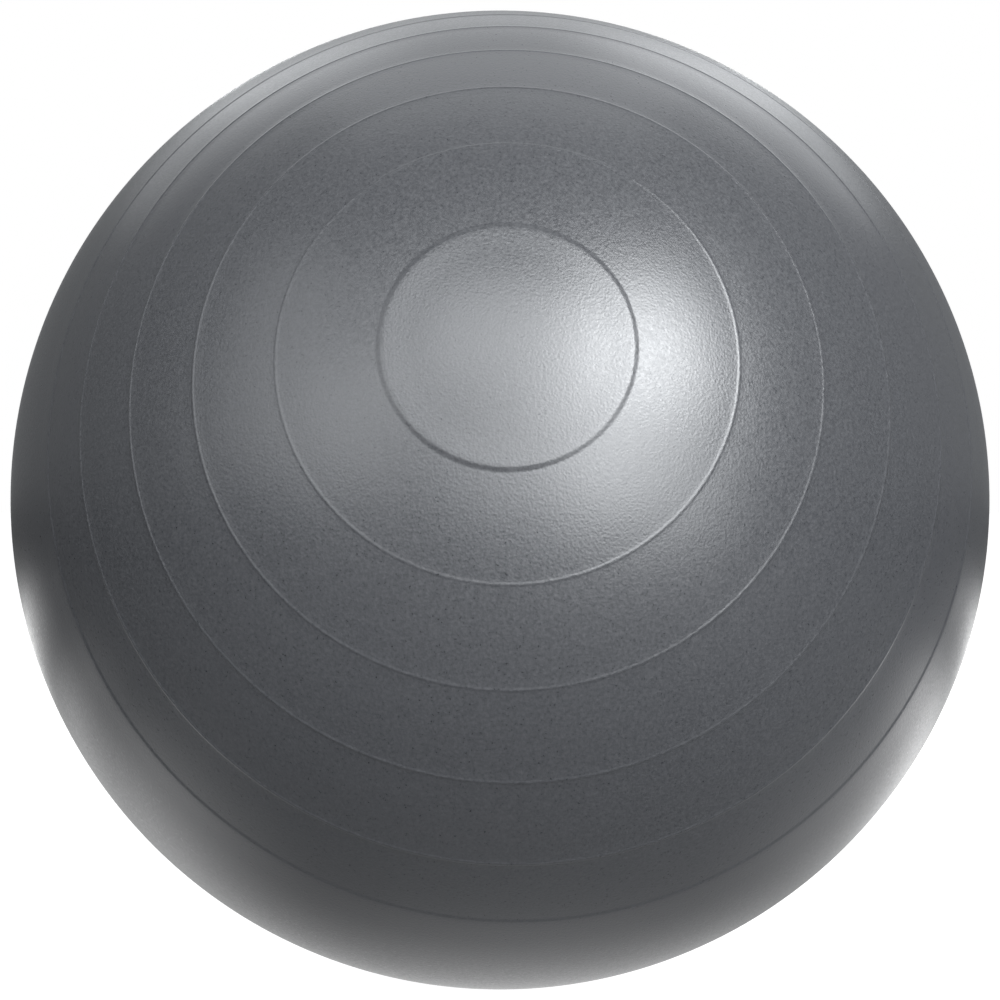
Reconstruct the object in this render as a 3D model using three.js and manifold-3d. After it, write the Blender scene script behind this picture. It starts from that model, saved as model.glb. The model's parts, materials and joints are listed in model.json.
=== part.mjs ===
// An exercise ball: an air-filled PVC skin with rings of thin ribs round each pole, and the push-in
// valve in the middle of one pole. Millimetres, +Z up. The origin is on the floor, below the middle
// of the ball, which rests on the small flat patch that its own weight presses into the skin.
//
// One pole, the plain one, faces -Y and looks a little upwards. The valve is in the other one.

import * as THREE from 'three';
import { mergeVertices } from 'three/addons/utils/BufferGeometryUtils.js';
import Module from 'manifold-3d';

const wasm = await Module();
wasm.setup();

// The ball. Its ribs are circles round the poles, placed by their angle from the nearer pole. They
// aren't quite concentric: the further one is from its pole, the more its own axis leans, mostly
// down and a little to one side. The first rib from the plain pole is a step instead, down from a
// round cap whose edge stands proud. The others stand higher the further they are from a pole, up
// to the given height half-way between the poles.
const BALL_RADIUS = 325;
const WALL = 0.9;
const CONTACT_RADIUS = 34;
const POLE_LIFT_DEGREES = 14.5;
const RIB_ANGLES = [11.8, 21.9, 31.3, 40.1, 49.0, 56.8];
const RIB_LEAN_DEGREES = 10;
const RIB_LEAN_ASIDE_DEGREES = 28;
const RIB_HEIGHT = 0.42;
const RIB_WIDTH = 3;
const CAP_RISE = 0.6;
const CAP_EDGE = 3.6;
const CAP_FADE = 12;

// The valve, measured along its axis from the ball's outer surface, inwards where negative.
const GAP = 0.3;
const BORE_RADIUS = 4.7;
const COLLAR_RADIUS = 12;
const COLLAR_STANDS_PROUD = 0.4;
const COLLAR_BEVEL = 0.6;
const HOLE_CUT_LENGTH = 20;
const FLANGE_RADIUS = 17;
const FLANGE_DEPTH = -2.4;
const FLANGE_THICKNESS = 2.2;
const NECK_RADIUS = 7.5;
const NECK_DEPTH = -20;
const RECESS_RADIUS = 8;
const RECESS_DEPTH = -1.6;

// The plug that closes it.
const HEAD_THICKNESS = 1.8;
const HEAD_BEVEL = 0.5;
const HEAD_CROWN = 0.2;
const STEM_RADIUS = 3.6;
const STEM_TIP_RADIUS = 3;
const STEM_LENGTH = 23;
const BARB_COUNT = 4;
const BARB_PITCH = 4.6;
const BARB_LENGTH = 2.8;
const BARB_SHOULDER = 0.4;
const FIRST_BARB_FROM_TIP = 1;
const CORE_RADIUS = 1.7;
const CORE_ROOF = 2.5;

// Facets.
const BALL_SEGMENTS = 48;
const VALVE_SEGMENTS = 24;
const LARGEST_STEP_DEGREES = 6;

// The middle of the ball is above the floor by its radius less the depth of the contact patch.
const CENTRE_HEIGHT = Math.sqrt(BALL_RADIUS ** 2 - CONTACT_RADIUS ** 2);

// Turns an outline of [radius, height] pairs about the Z axis.
function lathe(outline, segments) {
  const points = outline.map(([radius, height]) => new THREE.Vector2(radius, height));
  return new THREE.LatheGeometry(points, segments).rotateX(Math.PI / 2);
}

function toSolid(geometry) {
  const bare = geometry.clone();
  bare.deleteAttribute('normal');
  bare.deleteAttribute('uv');
  const welded = mergeVertices(bare);
  return new wasm.Manifold(new wasm.Mesh({
    numProp: 3,
    vertProperties: new Float32Array(welded.attributes.position.array),
    triVerts: new Uint32Array(welded.index.array),
  }));
}

function toGeometry(solid) {
  const mesh = solid.getMesh();
  const geometry = new THREE.BufferGeometry();
  geometry.setAttribute('position', new THREE.BufferAttribute(mesh.vertProperties, 3));
  geometry.setIndex(new THREE.BufferAttribute(mesh.triVerts, 1));
  geometry.computeVertexNormals();
  return geometry;
}

// Every rib's angle from the plain pole, over both halves of the ball.
function ribAngles() {
  const farHalf = RIB_ANGLES.map((angle) => 180 - angle).reverse();
  return [...RIB_ANGLES, ...farHalf];
}

// A point of the ball's outline, at an angle from the plain pole, which is at the top of the outline.
function outlinePoint(radius, degrees) {
  const angle = THREE.MathUtils.degToRad(degrees);
  return [radius * Math.sin(angle), radius * Math.cos(angle)];
}

// The edge of the plain cap: up the step, and back down the long slope towards the pole.
function capEdgePoints(radius, degrees) {
  const halfEdge = THREE.MathUtils.radToDeg(CAP_EDGE / 2 / radius);
  const fade = THREE.MathUtils.radToDeg(CAP_FADE / radius);
  return [
    outlinePoint(radius, degrees + halfEdge),
    outlinePoint(radius + CAP_RISE, degrees - halfEdge),
    outlinePoint(radius, degrees - halfEdge - fade),
  ];
}

// A rib of the outer surface: up from one foot to the crest, and down to the other foot.
function ribPoints(radius, degrees) {
  if (degrees === RIB_ANGLES[0]) {
    return capEdgePoints(radius, degrees);
  }
  const halfWidth = THREE.MathUtils.radToDeg(RIB_WIDTH / 2 / radius);
  const height = RIB_HEIGHT * Math.sin(THREE.MathUtils.degToRad(degrees));
  return [
    outlinePoint(radius, degrees + halfWidth),
    outlinePoint(radius + height, degrees),
    outlinePoint(radius, degrees - halfWidth),
  ];
}

// The points between two angles, evenly spaced, without the two ends.
function plainPoints(radius, from, to) {
  const steps = Math.ceil((from - to) / LARGEST_STEP_DEGREES);
  const points = [];
  for (let step = 1; step < steps; step += 1) {
    points.push(outlinePoint(radius, from + ((to - from) * step) / steps));
  }
  return points;
}

// A half-circle from the valve pole to the plain pole. The inner surface has a single point below
// each rib, so that its facets lie below the outer ones and the wall stays even.
function ballOutline(radius, hasRibs) {
  const stops = [180, ...ribAngles().reverse(), 0];
  const outline = [outlinePoint(radius, 180)];
  for (let i = 1; i < stops.length; i += 1) {
    const isRib = hasRibs && stops[i] > 0;
    outline.push(...plainPoints(radius, stops[i - 1], stops[i]));
    outline.push(...(isRib ? ribPoints(radius, stops[i]) : [outlinePoint(radius, stops[i])]));
  }
  return outline;
}

// Turns each ring of points by its own lean, which is nothing at the poles and greatest half-way
// between them.
function leanRings(geometry) {
  const position = geometry.attributes.position;
  const point = new THREE.Vector3();
  const aside = THREE.MathUtils.degToRad(RIB_LEAN_ASIDE_DEGREES);
  const leanAxis = new THREE.Vector3(Math.cos(aside), Math.sin(aside), 0);
  for (let i = 0; i < position.count; i += 1) {
    point.fromBufferAttribute(position, i);
    const offAxis = (point.x ** 2 + point.y ** 2) / point.lengthSq();
    point.applyAxisAngle(leanAxis, THREE.MathUtils.degToRad(RIB_LEAN_DEGREES * offAxis ** 2));
    position.setXYZ(i, point.x, point.y, point.z);
  }
  return geometry;
}

// The ball's own axis, with the plain pole up, laid over until that pole looks forwards.
function layOver(geometry) {
  return geometry
    .rotateX(THREE.MathUtils.degToRad(90 - POLE_LIFT_DEGREES))
    .translate(0, 0, CENTRE_HEIGHT);
}

// Cuts a solid off flat at a height above the floor.
function cutFlat(solid, height) {
  const size = 4 * BALL_RADIUS;
  const below = new THREE.BoxGeometry(size, size, size).translate(0, 0, height - size / 2);
  return solid.subtract(toSolid(below));
}

function ballSolid(radius, hasRibs) {
  return toSolid(layOver(leanRings(lathe(ballOutline(radius, hasRibs), BALL_SEGMENTS))));
}

function skinGeometry() {
  const outer = ballSolid(BALL_RADIUS, true);
  const inner = ballSolid(BALL_RADIUS - WALL, false);
  const holeRadius = COLLAR_RADIUS + GAP;
  const hole = new THREE.CylinderGeometry(holeRadius, holeRadius, HOLE_CUT_LENGTH, VALVE_SEGMENTS)
    .rotateX(Math.PI / 2)
    .translate(0, 0, -BALL_RADIUS);
  const blownUp = cutFlat(outer, 0).subtract(cutFlat(inner, WALL));
  return toGeometry(blownUp.subtract(toSolid(layOver(hole))));
}

// The soft moulded insert: a collar that fills the hole in the skin, a flange behind the skin, and a
// neck whose bore grips the plug.
function seatGeometry() {
  const face = COLLAR_STANDS_PROUD;
  return lathe([
    [BORE_RADIUS, NECK_DEPTH],
    [NECK_RADIUS, NECK_DEPTH],
    [NECK_RADIUS, FLANGE_DEPTH - FLANGE_THICKNESS],
    [FLANGE_RADIUS, FLANGE_DEPTH - FLANGE_THICKNESS],
    [FLANGE_RADIUS, FLANGE_DEPTH],
    [COLLAR_RADIUS, FLANGE_DEPTH],
    [COLLAR_RADIUS, face - COLLAR_BEVEL],
    [COLLAR_RADIUS - COLLAR_BEVEL, face],
    [RECESS_RADIUS, face],
    [RECESS_RADIUS, RECESS_DEPTH],
    [BORE_RADIUS, RECESS_DEPTH],
    [BORE_RADIUS, NECK_DEPTH],
  ], VALVE_SEGMENTS);
}

// One barb, from its thin end nearer the tip to its shoulder nearer the head.
function barbPoints(start) {
  return [
    [STEM_RADIUS, start],
    [BORE_RADIUS - GAP, start + BARB_LENGTH],
    [STEM_RADIUS, start + BARB_LENGTH + BARB_SHOULDER],
  ];
}

function plugGeometry() {
  const underHead = RECESS_DEPTH + GAP;
  const top = underHead + HEAD_THICKNESS;
  const tip = underHead - STEM_LENGTH;
  const headRadius = RECESS_RADIUS - GAP;
  const barbs = [];
  for (let i = 0; i < BARB_COUNT; i += 1) {
    barbs.push(...barbPoints(tip + FIRST_BARB_FROM_TIP + i * BARB_PITCH));
  }
  return lathe([
    [0, underHead - CORE_ROOF],
    [CORE_RADIUS, underHead - CORE_ROOF],
    [CORE_RADIUS, tip],
    [STEM_TIP_RADIUS, tip],
    ...barbs,
    [STEM_RADIUS, underHead],
    [headRadius, underHead],
    [headRadius, top - HEAD_BEVEL],
    [headRadius - HEAD_BEVEL, top],
    [0, top + HEAD_CROWN],
  ], VALVE_SEGMENTS);
}

function piece(name, geometry, color, roughness) {
  const material = new THREE.MeshStandardMaterial({ color, roughness, metalness: 0 });
  const mesh = new THREE.Mesh(geometry, material);
  mesh.name = name;
  return mesh;
}

// A group whose +Z points out of the valve pole, with its origin on the ball's outer surface.
function valveGroup() {
  const outwards = THREE.MathUtils.degToRad(-90 - POLE_LIFT_DEGREES);
  const surface = new THREE.Group();
  surface.position.set(0, 0, BALL_RADIUS);
  surface.add(piece('valve_seat', seatGeometry(), 0x505256, 0.6));
  surface.add(piece('valve_plug', plugGeometry(), 0xdcdcd6, 0.4));
  const axis = new THREE.Group();
  axis.position.set(0, 0, CENTRE_HEIGHT);
  axis.rotation.set(outwards, 0, 0);
  axis.add(surface);
  return axis;
}

const ball = new THREE.Group();
ball.add(piece('ball_skin', skinGeometry(), 0x63656a, 0.5));
ball.add(valveGroup());

export default ball;
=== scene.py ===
"""The looks of the exercise ball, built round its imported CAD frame. Everything is in metres.

The ball is a skin with six circles round each pole, and a push-in valve in one pole. Most circles are
thin ribs. The last one from each pole is the edge of the plain band round the ball's middle, and the
first one from the plain pole is the edge of a round cap. The plain pole faces the camera and looks a
little upwards.
"""
import json
import math

import bpy
from mathutils import Matrix, Vector


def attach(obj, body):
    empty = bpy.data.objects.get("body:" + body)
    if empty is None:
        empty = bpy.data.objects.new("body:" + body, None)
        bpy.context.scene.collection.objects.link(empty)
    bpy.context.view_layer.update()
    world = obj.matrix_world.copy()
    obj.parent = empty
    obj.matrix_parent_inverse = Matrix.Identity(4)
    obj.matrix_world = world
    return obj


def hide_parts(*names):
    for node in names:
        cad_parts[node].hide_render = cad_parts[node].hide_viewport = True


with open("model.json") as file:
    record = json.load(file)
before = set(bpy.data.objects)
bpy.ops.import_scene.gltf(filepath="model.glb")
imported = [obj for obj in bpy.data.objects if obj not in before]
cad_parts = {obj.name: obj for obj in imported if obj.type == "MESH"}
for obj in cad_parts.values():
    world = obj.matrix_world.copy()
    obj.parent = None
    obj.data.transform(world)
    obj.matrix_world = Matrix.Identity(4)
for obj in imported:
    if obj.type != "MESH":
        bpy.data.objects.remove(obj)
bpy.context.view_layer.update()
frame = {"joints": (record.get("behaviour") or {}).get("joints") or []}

MM = 0.001

# The ball, as in the CAD. Its axis is the one that the valve's plug is pulled along.
RADIUS = 325 * MM
WALL = 0.9 * MM
CONTACT_RADIUS = 34 * MM
CENTRE = Vector((0, 0, math.sqrt(RADIUS ** 2 - CONTACT_RADIUS ** 2)))
PLUG_JOINT = next(joint for joint in frame["joints"] if joint["name"] == "plug_pull")
VALVE_AXIS = Vector(PLUG_JOINT["axis"]).normalized()
POLE_LIFT = math.asin(-VALVE_AXIS.z)
RIB_ANGLES = [math.radians(a) for a in (11.8, 21.9, 31.3, 40.1, 49.0, 56.8)]
RIB_LEAN = math.radians(10)
RIB_LEAN_ASIDE = math.radians(28)
LEAN_AXIS = Vector((math.cos(RIB_LEAN_ASIDE), math.sin(RIB_LEAN_ASIDE), 0))
RIB_HEIGHT = 0.42 * MM
RIB_WIDTH = 3 * MM

# The first circle is the edge of the plain cap, which stands a little proud there.
CAP_RISE = 0.6 * MM
CAP_EDGE = 3.6 * MM
CAP_FADE = 12 * MM

# The last circle from each pole is an edge of the plain band, which stands a little proud there.
BAND_RISE = 0.42 * MM
BAND_EDGE = 2.6 * MM
BAND_FADE = 14 * MM

# The softness of the skin's bend at the edge of the flat patch that it rests on.
REST_SOFTNESS = 0.15 * MM

# The thicker pad that is moulded round the valve.
PAD_RADIUS = 22 * MM
PAD_HEIGHT = 0.6 * MM
PAD_EDGE = 3 * MM
HOLE_RADIUS = 12.06 * MM

# The valve, measured along its axis from the ball's outer surface, inwards where negative.
BORE_RADIUS = 4.7 * MM
COLLAR_RADIUS = 12 * MM
COLLAR_FACE = 0.4 * MM
FLANGE_RADIUS = 17 * MM
FLANGE_DEPTH = -2.4 * MM
FLANGE_THICKNESS = 2.2 * MM
NECK_RADIUS = 7.5 * MM
NECK_DEPTH = -20 * MM
RECESS_RADIUS = 8 * MM
RECESS_DEPTH = -1.6 * MM
NAIL_NOTCH_DEPTH = 2.2 * MM
NAIL_NOTCH_HALF_ANGLE = math.radians(24)
NAIL_NOTCH_DIRECTION = math.pi / 2

# The plug.
HEAD_RADIUS = 7.7 * MM
HEAD_UNDERSIDE = -1.3 * MM
HEAD_THICKNESS = 1.8 * MM
STEM_RADIUS = 3.6 * MM
STEM_TIP_RADIUS = 3 * MM
STEM_LENGTH = 23 * MM
BARB_RADIUS = 4.4 * MM
BARB_COUNT = 4
BARB_PITCH = 4.6 * MM
BARB_LENGTH = 2.8 * MM
BARB_SHOULDER = 0.5 * MM
FIRST_BARB_FROM_TIP = 1 * MM
CORE_RADIUS = 1.7 * MM
CORE_ROOF = 2.5 * MM

# How finely the meshes are made.
BALL_COLUMNS = 300
PLAIN_ROW_STEP = math.radians(1.25)
ROWS_PER_RIB = 8
ROWS_BESIDE_CAP_EDGE = 12
ROWS_PER_PAD_EDGE = 8
INNER_ROW_STEP = 3 * PLAIN_ROW_STEP
VALVE_COLUMNS = 96
FILLET_STEPS = 4

# The camera, at the height of the ball's middle. Its distance is in radii of the ball.
CAMERA_DISTANCE = 3.7
CAMERA_AZIMUTH = math.radians(-0.7)
FOCAL_LENGTH_IN_WIDTHS = 1.744

# The studio. Its soft boxes stand on a sphere round the ball. Its even light from all round is brighter
# in the middle of the backdrop, behind the ball.
DAYLIGHT = (0.955, 0.98, 1.0)
LIGHT_DISTANCE = 2.3
AMBIENT = 0.27
BACKDROP = 1.3
BACKDROP_EDGE = math.radians(24)
BACKDROP_MIDDLE = math.radians(16)

# What a camera sees of the room: white on the valve's side of the ball, and pale on the plain pole's
# side. The room turns from pale to white as the Y of a direction goes from the first value to the
# second, and the floor as the Y of a place does.
WHITE = 1.0
PALE = 0.84
ROOM_TURNS_WHITE = (-0.3, 0.1)
FLOOR_TURNS_WHITE = (-3, -0.8)
FLOOR_REACH = 40.0
SEEN_FLOOR_GREY = 0.2
SEEN_FLOOR_PALE = PALE - 0.04

# What lights and reflections see of the floor: dark grey, with pools of painted light, a glow of the
# floor where no lamp stands.
# Each one is its place as x and y, its radius and its strength.
UNSEEN_FLOOR_GREY = 0.09
PAINTED_LIGHT_POOLS = [
    (0, 0, 0.25, 1.15),
    (0, 0, 0.45, 0.4),
    (-0.35, 0, 0.3, 1.0),
    (0.35, 0, 0.3, 0.6),
    (-0.6, 0.35, 0.5, 1.2),
    (0.6, 0.35, 0.5, 2.6),
    (-0.9, 1.8, 1.3, 4),
    (0.9, 1.8, 1.3, 4),
]


def smooth_step(value, start, end):
    """0 before start, 1 after end, and a smooth change between them."""
    t = min(1.0, max(0.0, (value - start) / (end - start)))
    return t * t * (3 - 2 * t)


# ---------------------------------------------------------------- meshes

def add_mesh(name, points, faces):
    mesh = bpy.data.meshes.new(name)
    mesh.from_pydata(points, [], faces)
    mesh.shade_smooth()
    mesh.validate()
    piece = bpy.data.objects.new(name, mesh)
    bpy.context.scene.collection.objects.link(piece)
    return piece


def grid_faces(rows, columns, closed_loop):
    """The faces between rows of points that run round an axis, each row with that many columns."""
    faces = []
    for row in range(rows if closed_loop else rows - 1):
        this_row = row * columns
        next_row = (row + 1) % rows * columns
        for column in range(columns):
            beside = (column + 1) % columns
            corners = (this_row + column, this_row + beside, next_row + beside, next_row + column)
            faces.append(corners)
    return faces


def cap_faces(row_start, columns, pole, facing_on):
    """A fan from a row of points to a pole point. Its faces run round in the row's own direction with
    facing_on, and in the other one without it."""
    fan = []
    for column in range(columns):
        a, b = row_start + column, row_start + (column + 1) % columns
        fan.append((a, b, pole) if facing_on else (b, a, pole))
    return fan


# ---------------------------------------------------------------- the ball's skin

def rib_lift(polar):
    """How far the ribs and the edges stand proud, at an angle from the plain pole."""
    lift = 0.0
    for rib in RIB_ANGLES[1:-1] + [math.pi - rib for rib in RIB_ANGLES[:-1]]:
        offset = RADIUS * (polar - rib)
        if abs(offset) < RIB_WIDTH / 2:
            lift += RIB_HEIGHT * math.sin(rib) * math.cos(math.pi * offset / RIB_WIDTH) ** 2
    from_cap = RADIUS * (polar - RIB_ANGLES[0]) + CAP_EDGE / 2
    lift += CAP_RISE * smooth_step(from_cap, -CAP_FADE, 0) * (1 - smooth_step(from_cap, 0, CAP_EDGE))
    from_band = RADIUS * (min(polar, math.pi - polar) - RIB_ANGLES[-1]) + BAND_EDGE / 2
    past_edge = smooth_step(from_band, BAND_EDGE, BAND_EDGE + BAND_FADE)
    return lift + BAND_RISE * smooth_step(from_band, 0, BAND_EDGE) * (1 - past_edge)


def pad_lift(polar):
    """How far the valve's pad stands proud."""
    from_valve = RADIUS * (math.pi - polar)
    return PAD_HEIGHT * (1 - smooth_step(from_valve, PAD_RADIUS, PAD_RADIUS + PAD_EDGE))


def ball_point(polar, around, radius):
    """A point of the ball, at an angle from the plain pole and an angle round the ball's axis."""
    lean = Matrix.Rotation(RIB_LEAN * math.sin(polar) ** 4, 3, LEAN_AXIS)
    turn = Matrix.Rotation(math.pi / 2 - POLE_LIFT, 3, "X") @ lean
    local = Vector((
        math.sin(polar) * math.cos(around),
        math.sin(polar) * math.sin(around),
        math.cos(polar),
    ))
    return CENTRE + turn @ (radius * local)


def rest_on_floor(point, height):
    """Lifts a point that would be below a height up to it, with a short soft change at the edge."""
    gap = (point.z - height) / REST_SOFTNESS
    lifted = REST_SOFTNESS * (math.log1p(math.exp(-abs(gap))) + max(gap, 0.0))
    return Vector((point.x, point.y, height + lifted))


def row_angles(last):
    """Angles from the plain pole for the outer rows, up to the last one: close together on each rib and
    edge, and wider between."""
    angles = set()
    ribs = RIB_ANGLES[1:] + [math.pi - rib for rib in RIB_ANGLES]
    half = RIB_WIDTH / 2 / RADIUS
    for rib in ribs:
        for step in range(-ROWS_PER_RIB // 2, ROWS_PER_RIB // 2 + 1):
            angles.add(rib + 2 * half * step / ROWS_PER_RIB)
    for step in range(-ROWS_BESIDE_CAP_EDGE, ROWS_BESIDE_CAP_EDGE + 1):
        angles.add(RIB_ANGLES[0] + step / ROWS_BESIDE_CAP_EDGE * CAP_EDGE / RADIUS)
    pad = math.pi - PAD_RADIUS / RADIUS
    for step in range(ROWS_PER_PAD_EDGE + 1):
        angles.add(pad - PAD_EDGE / RADIUS * step / ROWS_PER_PAD_EDGE)
    polar = PLAIN_ROW_STEP
    while polar < last:
        if all(abs(polar - rib) > 1.5 * half for rib in ribs + RIB_ANGLES[:1]):
            angles.add(polar)
        polar += PLAIN_ROW_STEP
    return sorted(a for a in angles if a < last - 1e-4) + [last]


def make_skin():
    """The blown-up skin: an outer surface with the ribs, an inner one, and the rim of the hole. A row
    is its angle from the plain pole, its radius, and the lowest height that its points may have."""
    last = math.pi - math.asin(HOLE_RADIUS / RADIUS)
    rows = []
    for polar in row_angles(last):
        rows.append((polar, RADIUS + rib_lift(polar) + pad_lift(polar), 0.0))
    inner_count = int(last / INNER_ROW_STEP)
    for step in range(inner_count, 0, -1):
        rows.append((last * step / inner_count, RADIUS - WALL, WALL))
    points = []
    for polar, radius, height in rows:
        for column in range(BALL_COLUMNS):
            around = 2 * math.pi * column / BALL_COLUMNS
            points.append(rest_on_floor(ball_point(polar, around, radius), height))
    outer_pole, inner_pole = len(points), len(points) + 1
    points.append(ball_point(0, 0, RADIUS + rib_lift(0)))
    points.append(ball_point(0, 0, RADIUS - WALL))
    faces = [face[::-1] for face in grid_faces(len(rows), BALL_COLUMNS, closed_loop=False)]
    faces += cap_faces(0, BALL_COLUMNS, outer_pole, facing_on=True)
    faces += cap_faces((len(rows) - 1) * BALL_COLUMNS, BALL_COLUMNS, inner_pole, facing_on=False)
    return add_mesh("ball_skin_fine", points, faces)


# ---------------------------------------------------------------- the valve

def rounded(outline):
    """An outline of (radius, height, fillet) corners, with each corner rounded by its fillet."""
    points = []
    count = len(outline)
    for i, (radius, height, fillet) in enumerate(outline):
        corner = Vector((radius, height))
        if fillet == 0:
            points.append(corner)
            continue
        before = (Vector(outline[i - 1][:2]) - corner).normalized()
        after = (Vector(outline[(i + 1) % count][:2]) - corner).normalized()
        half_angle = before.angle(after) / 2
        reach = fillet / math.tan(half_angle)
        start, end = corner + before * reach, corner + after * reach
        for step in range(FILLET_STEPS + 1):
            t = step / FILLET_STEPS
            points.append(start.lerp(corner, t).lerp(corner.lerp(end, t), t))
    return points


def valve_matrix():
    """Puts a piece whose +Z is the valve's axis, with z = 0 on the ball's surface, in its place."""
    place = Matrix.Translation(CENTRE + VALVE_AXIS * RADIUS)
    return place @ VALVE_AXIS.to_track_quat("Z", "Y").to_matrix().to_4x4()


def revolve(name, outline, shape=None):
    """Turns an outline of (radius, height) points about the valve's axis. The outline either closes on
    itself, or starts and ends on the axis. shape may change each point's radius."""
    place = valve_matrix()
    on_axis = outline[0].x == 0
    ring_outline = outline[1:-1] if on_axis else outline
    points = []
    for corner in ring_outline:
        for column in range(VALVE_COLUMNS):
            around = 2 * math.pi * column / VALVE_COLUMNS
            radius = shape(corner, around) if shape else corner.x
            across, along = radius * math.cos(around), radius * math.sin(around)
            points.append(place @ Vector((across, along, corner.y)))
    faces = grid_faces(len(ring_outline), VALVE_COLUMNS, closed_loop=not on_axis)
    if on_axis:
        points.append(place @ Vector((0, 0, outline[0].y)))
        points.append(place @ Vector((0, 0, outline[-1].y)))
        last_row = (len(ring_outline) - 1) * VALVE_COLUMNS
        faces += cap_faces(0, VALVE_COLUMNS, len(points) - 2, facing_on=False)
        faces += cap_faces(last_row, VALVE_COLUMNS, len(points) - 1, facing_on=True)
    return add_mesh(name, points, faces)


def nail_notch(corner, around):
    """Widens the recess on one side, where a fingernail goes under the plug's head."""
    on_recess_wall = abs(corner.x - RECESS_RADIUS) < 0.6 * MM and corner.y > RECESS_DEPTH - 0.1 * MM
    if not on_recess_wall:
        return corner.x
    off_middle = abs((around - NAIL_NOTCH_DIRECTION + math.pi) % (2 * math.pi) - math.pi)
    past_notch = smooth_step(off_middle, 0.4 * NAIL_NOTCH_HALF_ANGLE, NAIL_NOTCH_HALF_ANGLE)
    return corner.x + NAIL_NOTCH_DEPTH * (1 - past_notch)


def make_seat():
    """The soft insert: a collar in the hole, a flange behind the skin, and a neck with the bore."""
    small, large = 0.25 * MM, 0.6 * MM
    outline = rounded([
        (BORE_RADIUS, NECK_DEPTH, small),
        (NECK_RADIUS, NECK_DEPTH, large),
        (NECK_RADIUS, FLANGE_DEPTH - FLANGE_THICKNESS, large),
        (FLANGE_RADIUS, FLANGE_DEPTH - FLANGE_THICKNESS, large),
        (FLANGE_RADIUS, FLANGE_DEPTH, small),
        (COLLAR_RADIUS, FLANGE_DEPTH, small),
        (COLLAR_RADIUS, COLLAR_FACE, large),
        (RECESS_RADIUS, COLLAR_FACE, 0.4 * MM),
        (RECESS_RADIUS, RECESS_DEPTH, small),
        (BORE_RADIUS, RECESS_DEPTH, small),
    ])
    return revolve("valve_seat_fine", outline, nail_notch)


def make_plug():
    """A hollow stem with barbs, and a head with a rim round a shallow dish."""
    fine, small = 0.12 * MM, 0.35 * MM
    tip = HEAD_UNDERSIDE - STEM_LENGTH
    top = HEAD_UNDERSIDE + HEAD_THICKNESS
    outline = [
        (0, HEAD_UNDERSIDE - CORE_ROOF, 0),
        (CORE_RADIUS, HEAD_UNDERSIDE - CORE_ROOF, fine),
        (CORE_RADIUS, tip, small),
        (STEM_TIP_RADIUS, tip, small),
    ]
    for barb in range(BARB_COUNT):
        start = tip + FIRST_BARB_FROM_TIP + barb * BARB_PITCH
        outline.append((STEM_RADIUS, start, fine))
        outline.append((BARB_RADIUS, start + BARB_LENGTH, small))
        outline.append((STEM_RADIUS, start + BARB_LENGTH + BARB_SHOULDER, fine))
    outline += [
        (STEM_RADIUS, HEAD_UNDERSIDE, small),
        (HEAD_RADIUS, HEAD_UNDERSIDE, small),
        (HEAD_RADIUS, top, 0.5 * MM),
        (0.72 * HEAD_RADIUS, top + 0.1 * MM, fine),
        (0.68 * HEAD_RADIUS, top - 0.25 * MM, fine),
        (0.2 * HEAD_RADIUS, top - 0.2 * MM, fine),
        (0.16 * HEAD_RADIUS, top, fine),
        (0, top + 0.02 * MM, 0),
    ]
    return revolve("valve_plug_fine", rounded(outline))


# ---------------------------------------------------------------- materials

class Nodes:
    """A new material and short calls to fill in its nodes."""

    def __init__(self, name):
        self.material = bpy.data.materials.new(name)
        self.material.use_nodes = True
        self.tree = self.material.node_tree
        self.shader = self.tree.nodes["Principled BSDF"]
        self.place = self.add("ShaderNodeTexCoord").outputs["Object"]

    def add(self, kind, **settings):
        node = self.tree.nodes.new(kind)
        for key, value in settings.items():
            setattr(node, key, value)
        return node

    def link(self, source, target):
        self.tree.links.new(source, target)

    def noise(self, size, detail=2.0, roughness=0.5):
        """Cloudy noise with blobs of about that size, in metres."""
        node = self.add("ShaderNodeTexNoise")
        node.inputs["Scale"].default_value = 1 / size
        node.inputs["Detail"].default_value = detail
        node.inputs["Roughness"].default_value = roughness
        self.link(self.place, node.inputs["Vector"])
        return node.outputs["Fac"]

    def cells(self, size, softness):
        """The distance from the middle of the nearest cell, with cells of about that size."""
        node = self.add("ShaderNodeTexVoronoi", feature="SMOOTH_F1")
        node.inputs["Scale"].default_value = 1 / size
        node.inputs["Smoothness"].default_value = softness
        self.link(self.place, node.inputs["Vector"])
        return node.outputs["Distance"]

    def ranged(self, value, low, high, to_low, to_high):
        """Maps a value from one range to another."""
        node = self.add("ShaderNodeMapRange")
        node.inputs["From Min"].default_value = low
        node.inputs["From Max"].default_value = high
        node.inputs["To Min"].default_value = to_low
        node.inputs["To Max"].default_value = to_high
        self.link(value, node.inputs["Value"])
        return node.outputs["Result"]

    def colours(self, value, dark, light):
        """Two colours mixed by a value."""
        node = self.add("ShaderNodeMix", data_type="RGBA")
        node.inputs["A"].default_value = (*dark, 1)
        node.inputs["B"].default_value = (*light, 1)
        self.link(value, node.inputs["Factor"])
        return node.outputs["Result"]

    def bump(self, height, distance, strength, under=None):
        node = self.add("ShaderNodeBump")
        node.inputs["Distance"].default_value = distance
        node.inputs["Strength"].default_value = strength
        self.link(height, node.inputs["Height"])
        if under is not None:
            self.link(under, node.inputs["Normal"])
        return node.outputs["Normal"]


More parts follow.
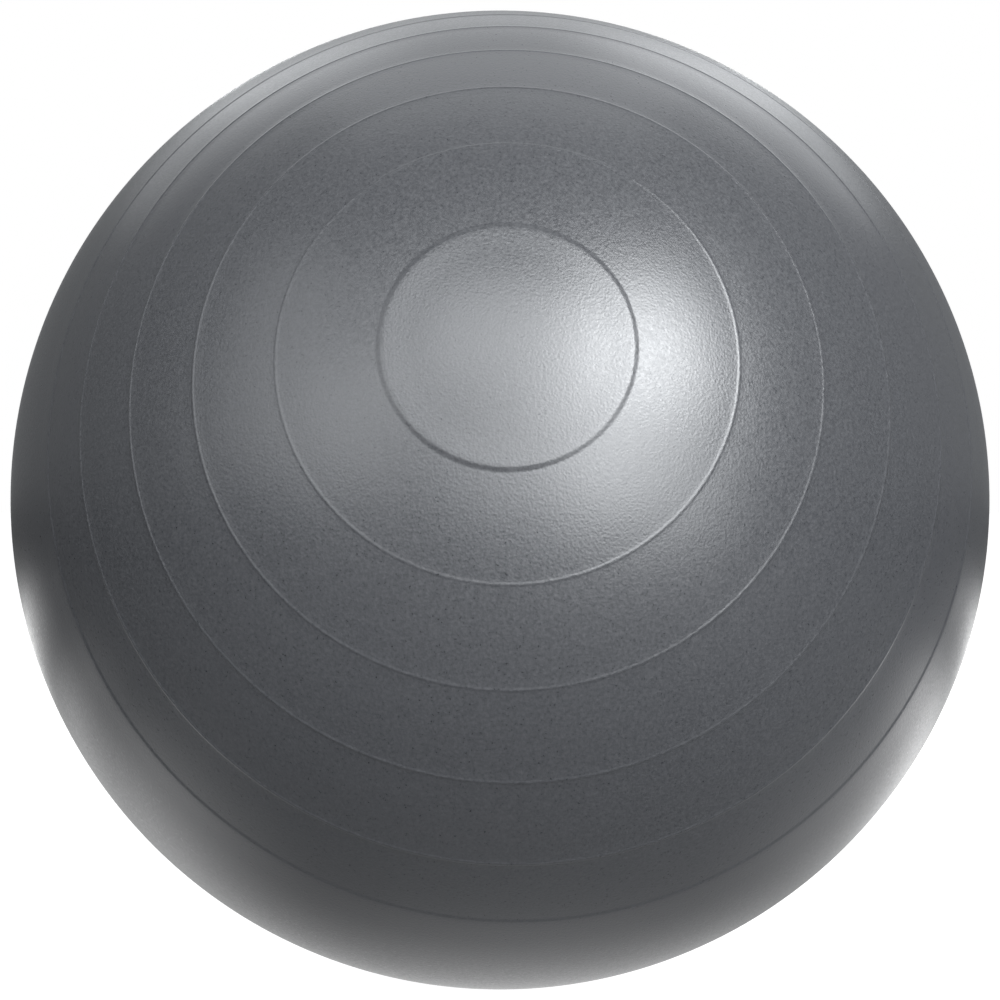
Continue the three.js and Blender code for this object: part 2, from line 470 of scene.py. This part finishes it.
def pvc_material(name, dark, light, roughness, grain):
    """Soft grey PVC: a pebble grain, with fine specks in its colour and shine."""
    nodes = Nodes(name)
    speckle = nodes.noise(1.8 * MM, detail=8, roughness=0.7)
    pebbles = nodes.cells(1.5 * MM, 0.5)
    fuzz = nodes.noise(1.1 * MM, detail=2, roughness=0.6)
    shade = nodes.ranged(speckle, 0.3, 0.7, 0, 1)
    nodes.link(nodes.colours(shade, dark, light), nodes.shader.inputs["Base Color"])
    shine = nodes.ranged(speckle, 0.3, 0.7, roughness - 0.09, roughness + 0.09)
    nodes.link(shine, nodes.shader.inputs["Roughness"])
    fine = nodes.bump(fuzz, 0.14 * MM, grain)
    nodes.link(nodes.bump(pebbles, 0.14 * MM, grain, fine), nodes.shader.inputs["Normal"])
    nodes.shader.inputs["Specular IOR Level"].default_value = 0.7
    return nodes.material


def skin_material():
    return pvc_material("skin_pvc", (0.024, 0.025, 0.028), (0.051, 0.052, 0.056), 0.34, 0.45)


def seat_material():
    """Smoother and more even than the skin."""
    return pvc_material("seat_pvc", (0.040, 0.041, 0.044), (0.046, 0.047, 0.050), 0.42, 0.15)


def plug_material():
    """Natural polyethylene: off-white, waxy and slightly see-through at its edges."""
    nodes = Nodes("plug_polyethylene")
    clouds = nodes.noise(6 * MM, detail=3)
    orange_peel = nodes.noise(0.6 * MM, detail=2)
    off_white = nodes.colours(clouds, (0.66, 0.66, 0.61), (0.76, 0.76, 0.72))
    nodes.link(off_white, nodes.shader.inputs["Base Color"])
    nodes.link(nodes.ranged(orange_peel, 0.3, 0.7, 0.34, 0.46), nodes.shader.inputs["Roughness"])
    nodes.link(nodes.bump(orange_peel, 0.02 * MM, 0.4), nodes.shader.inputs["Normal"])
    nodes.shader.inputs["Subsurface Weight"].default_value = 0.15
    nodes.shader.inputs["Subsurface Radius"].default_value = (1.2 * MM, 1.1 * MM, 0.9 * MM)
    nodes.shader.inputs["Subsurface Scale"].default_value = 1.0
    return nodes.material


# ---------------------------------------------------------------- the studio

def make_camera():
    data = bpy.data.cameras.new("camera")
    data.sensor_width = 36
    data.lens = FOCAL_LENGTH_IN_WIDTHS * data.sensor_width
    camera = bpy.data.objects.new("camera", data)
    back = Vector((math.sin(CAMERA_AZIMUTH), -math.cos(CAMERA_AZIMUTH), 0))
    camera.location = CENTRE + back * CAMERA_DISTANCE * RADIUS
    camera.rotation_euler = (-back).to_track_quat("-Z", "Y").to_euler()
    bpy.context.scene.collection.objects.link(camera)
    bpy.context.scene.camera = camera


def softbox(name, azimuth, elevation, width, height, watts):
    """A soft rectangular light that faces the ball, with its sides in metres. Azimuth 0 is on the side
    of the plain pole, and 90 is to the right, seen from there."""
    data = bpy.data.lights.new(name, "AREA")
    data.shape = "RECTANGLE"
    data.size, data.size_y = width, height
    data.energy = watts
    data.color = DAYLIGHT
    light = bpy.data.objects.new(name, data)
    turn, rise = math.radians(azimuth), math.radians(elevation)
    towards = Vector((math.sin(turn) * math.cos(rise), -math.cos(turn) * math.cos(rise), math.sin(rise)))
    light.location = CENTRE + towards * LIGHT_DISTANCE
    light.rotation_euler = (-towards).to_track_quat("-Z", "Y").to_euler()
    light.visible_camera = False
    bpy.context.scene.collection.objects.link(light)


def make_lights():
    softbox("key", 27, 14, 1.3, 1.7, 46)
    softbox("key_top", 31, 31, 1.0, 1.0, 47)
    softbox("front", 8, 8, 1.6, 0.8, 19)
    softbox("front_high", -5, 33, 1.1, 1.0, 20)
    softbox("left", -30, 14, 0.8, 1.1, 9)
    softbox("left_wide", -50, 25, 1.0, 1.8, 9)
    softbox("back_left", -140, 45, 1.2, 1.2, 4)
    softbox("back_right", 140, 45, 1.2, 1.2, 6)
    softbox("back", 180, 14, 1.3, 1.0, 34)
    softbox("back_high", 180, 48, 2.4, 0.8, 7)
    softbox("overhead", 180, 78, 2.0, 1.2, 8.5)


def seen_and_unseen(tree, seen, unseen):
    """One shader for what the camera sees directly, and another for what lights and reflects."""
    path = tree.nodes.new("ShaderNodeLightPath")
    mix = tree.nodes.new("ShaderNodeMixShader")
    tree.links.new(path.outputs["Is Camera Ray"], mix.inputs["Fac"])
    tree.links.new(unseen, mix.inputs[1])
    tree.links.new(seen, mix.inputs[2])
    return mix.outputs["Shader"]


def ramp(tree, value, low, high, to_low, to_high):
    """A smooth change of a value from one range to another."""
    node = tree.nodes.new("ShaderNodeMapRange")
    node.interpolation_type = "SMOOTHSTEP"
    node.inputs["From Min"].default_value = low
    node.inputs["From Max"].default_value = high
    node.inputs["To Min"].default_value = to_low
    node.inputs["To Max"].default_value = to_high
    tree.links.new(value, node.inputs["Value"])
    return node.outputs["Result"]


def make_world():
    world = bpy.data.worlds.new("studio")
    world.use_nodes = True
    tree = world.node_tree
    tree.nodes.clear()
    direction = tree.nodes.new("ShaderNodeTexCoord").outputs["Generated"]
    along_y = tree.nodes.new("ShaderNodeVectorMath")
    along_y.operation = "DOT_PRODUCT"
    along_y.inputs[1].default_value = (0, 1, 0)
    tree.links.new(direction, along_y.inputs[0])
    direction_y = along_y.outputs["Value"]
    shown = tree.nodes.new("ShaderNodeBackground")
    shown.inputs["Color"].default_value = (1, 1, 1, 1)
    white = ramp(tree, direction_y, *ROOM_TURNS_WHITE, PALE, WHITE)
    tree.links.new(white, shown.inputs["Strength"])
    lighting = tree.nodes.new("ShaderNodeBackground")
    lighting.inputs["Color"].default_value = (*DAYLIGHT, 1)
    edge, middle = math.cos(BACKDROP_EDGE), math.cos(BACKDROP_MIDDLE)
    even_light = ramp(tree, direction_y, edge, middle, AMBIENT, BACKDROP)
    tree.links.new(even_light, lighting.inputs["Strength"])
    output = tree.nodes.new("ShaderNodeOutputWorld")
    both = seen_and_unseen(tree, shown.outputs["Background"], lighting.outputs["Background"])
    tree.links.new(both, output.inputs["Surface"])
    bpy.context.scene.world = world
    bpy.context.scene.view_settings.view_transform = "Standard"


def matte(tree, grey, glow=0.0):
    """A dull surface that may also glow white."""
    shader = tree.nodes.new("ShaderNodeBsdfPrincipled")
    shader.inputs["Base Color"].default_value = (grey, grey, grey, 1)
    shader.inputs["Roughness"].default_value = 0.9
    shader.inputs["Emission Color"].default_value = (1, 1, 1, 1)
    shader.inputs["Emission Strength"].default_value = glow
    return shader


def painted_light_pools(tree):
    """Painted light on the floor: soft round pools of glow, each brightest in its middle."""
    place = tree.nodes.new("ShaderNodeTexCoord").outputs["Object"]
    total = None
    for x, y, radius, strength in PAINTED_LIGHT_POOLS:
        distance = tree.nodes.new("ShaderNodeVectorMath")
        distance.operation = "DISTANCE"
        distance.inputs[1].default_value = (x, y, 0)
        tree.links.new(place, distance.inputs[0])
        pool = ramp(tree, distance.outputs["Value"], 0, radius, strength, 0)
        if total is None:
            total = pool
            continue
        add = tree.nodes.new("ShaderNodeMath")
        tree.links.new(total, add.inputs[0])
        tree.links.new(pool, add.inputs[1])
        total = add.outputs["Value"]
    return total


def floor_material():
    material = bpy.data.materials.new("floor_white")
    material.use_nodes = True
    tree = material.node_tree
    tree.nodes.clear()
    shown = matte(tree, SEEN_FLOOR_GREY)
    apart = tree.nodes.new("ShaderNodeSeparateXYZ")
    tree.links.new(tree.nodes.new("ShaderNodeTexCoord").outputs["Object"], apart.inputs[0])
    white = ramp(tree, apart.outputs["Y"], *FLOOR_TURNS_WHITE, SEEN_FLOOR_PALE, WHITE)
    tree.links.new(white, shown.inputs["Emission Strength"])
    lighting = matte(tree, UNSEEN_FLOOR_GREY)
    # The floor's glow in pools is painted light, seen only by lights and reflections.
    tree.links.new(painted_light_pools(tree), lighting.inputs["Emission Strength"])
    output = tree.nodes.new("ShaderNodeOutputMaterial")
    both = seen_and_unseen(tree, shown.outputs["BSDF"], lighting.outputs["BSDF"])
    tree.links.new(both, output.inputs["Surface"])
    return material


def make_floor():
    mesh = bpy.data.meshes.new("floor")
    near, far = -FLOOR_REACH, FLOOR_REACH
    corners = [(near, near, 0), (far, near, 0), (far, far, 0), (near, far, 0)]
    mesh.from_pydata(corners, [], [(0, 1, 2, 3)])
    mesh.materials.append(floor_material())
    floor = bpy.data.objects.new("floor", mesh)
    bpy.context.scene.collection.objects.link(floor)


def finish_piece(piece, body, node, material):
    """Gives a piece its material and the body that it moves with, and hides the CAD node that it stands
    for.
    """
    piece.data.materials.append(material)
    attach(piece, body)
    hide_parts(node)


make_camera()
finish_piece(make_skin(), "ball", "ball_skin", skin_material())
finish_piece(make_seat(), "ball", "valve_seat", seat_material())
finish_piece(make_plug(), "plug", "valve_plug", plug_material())
make_floor()
make_lights()
make_world()
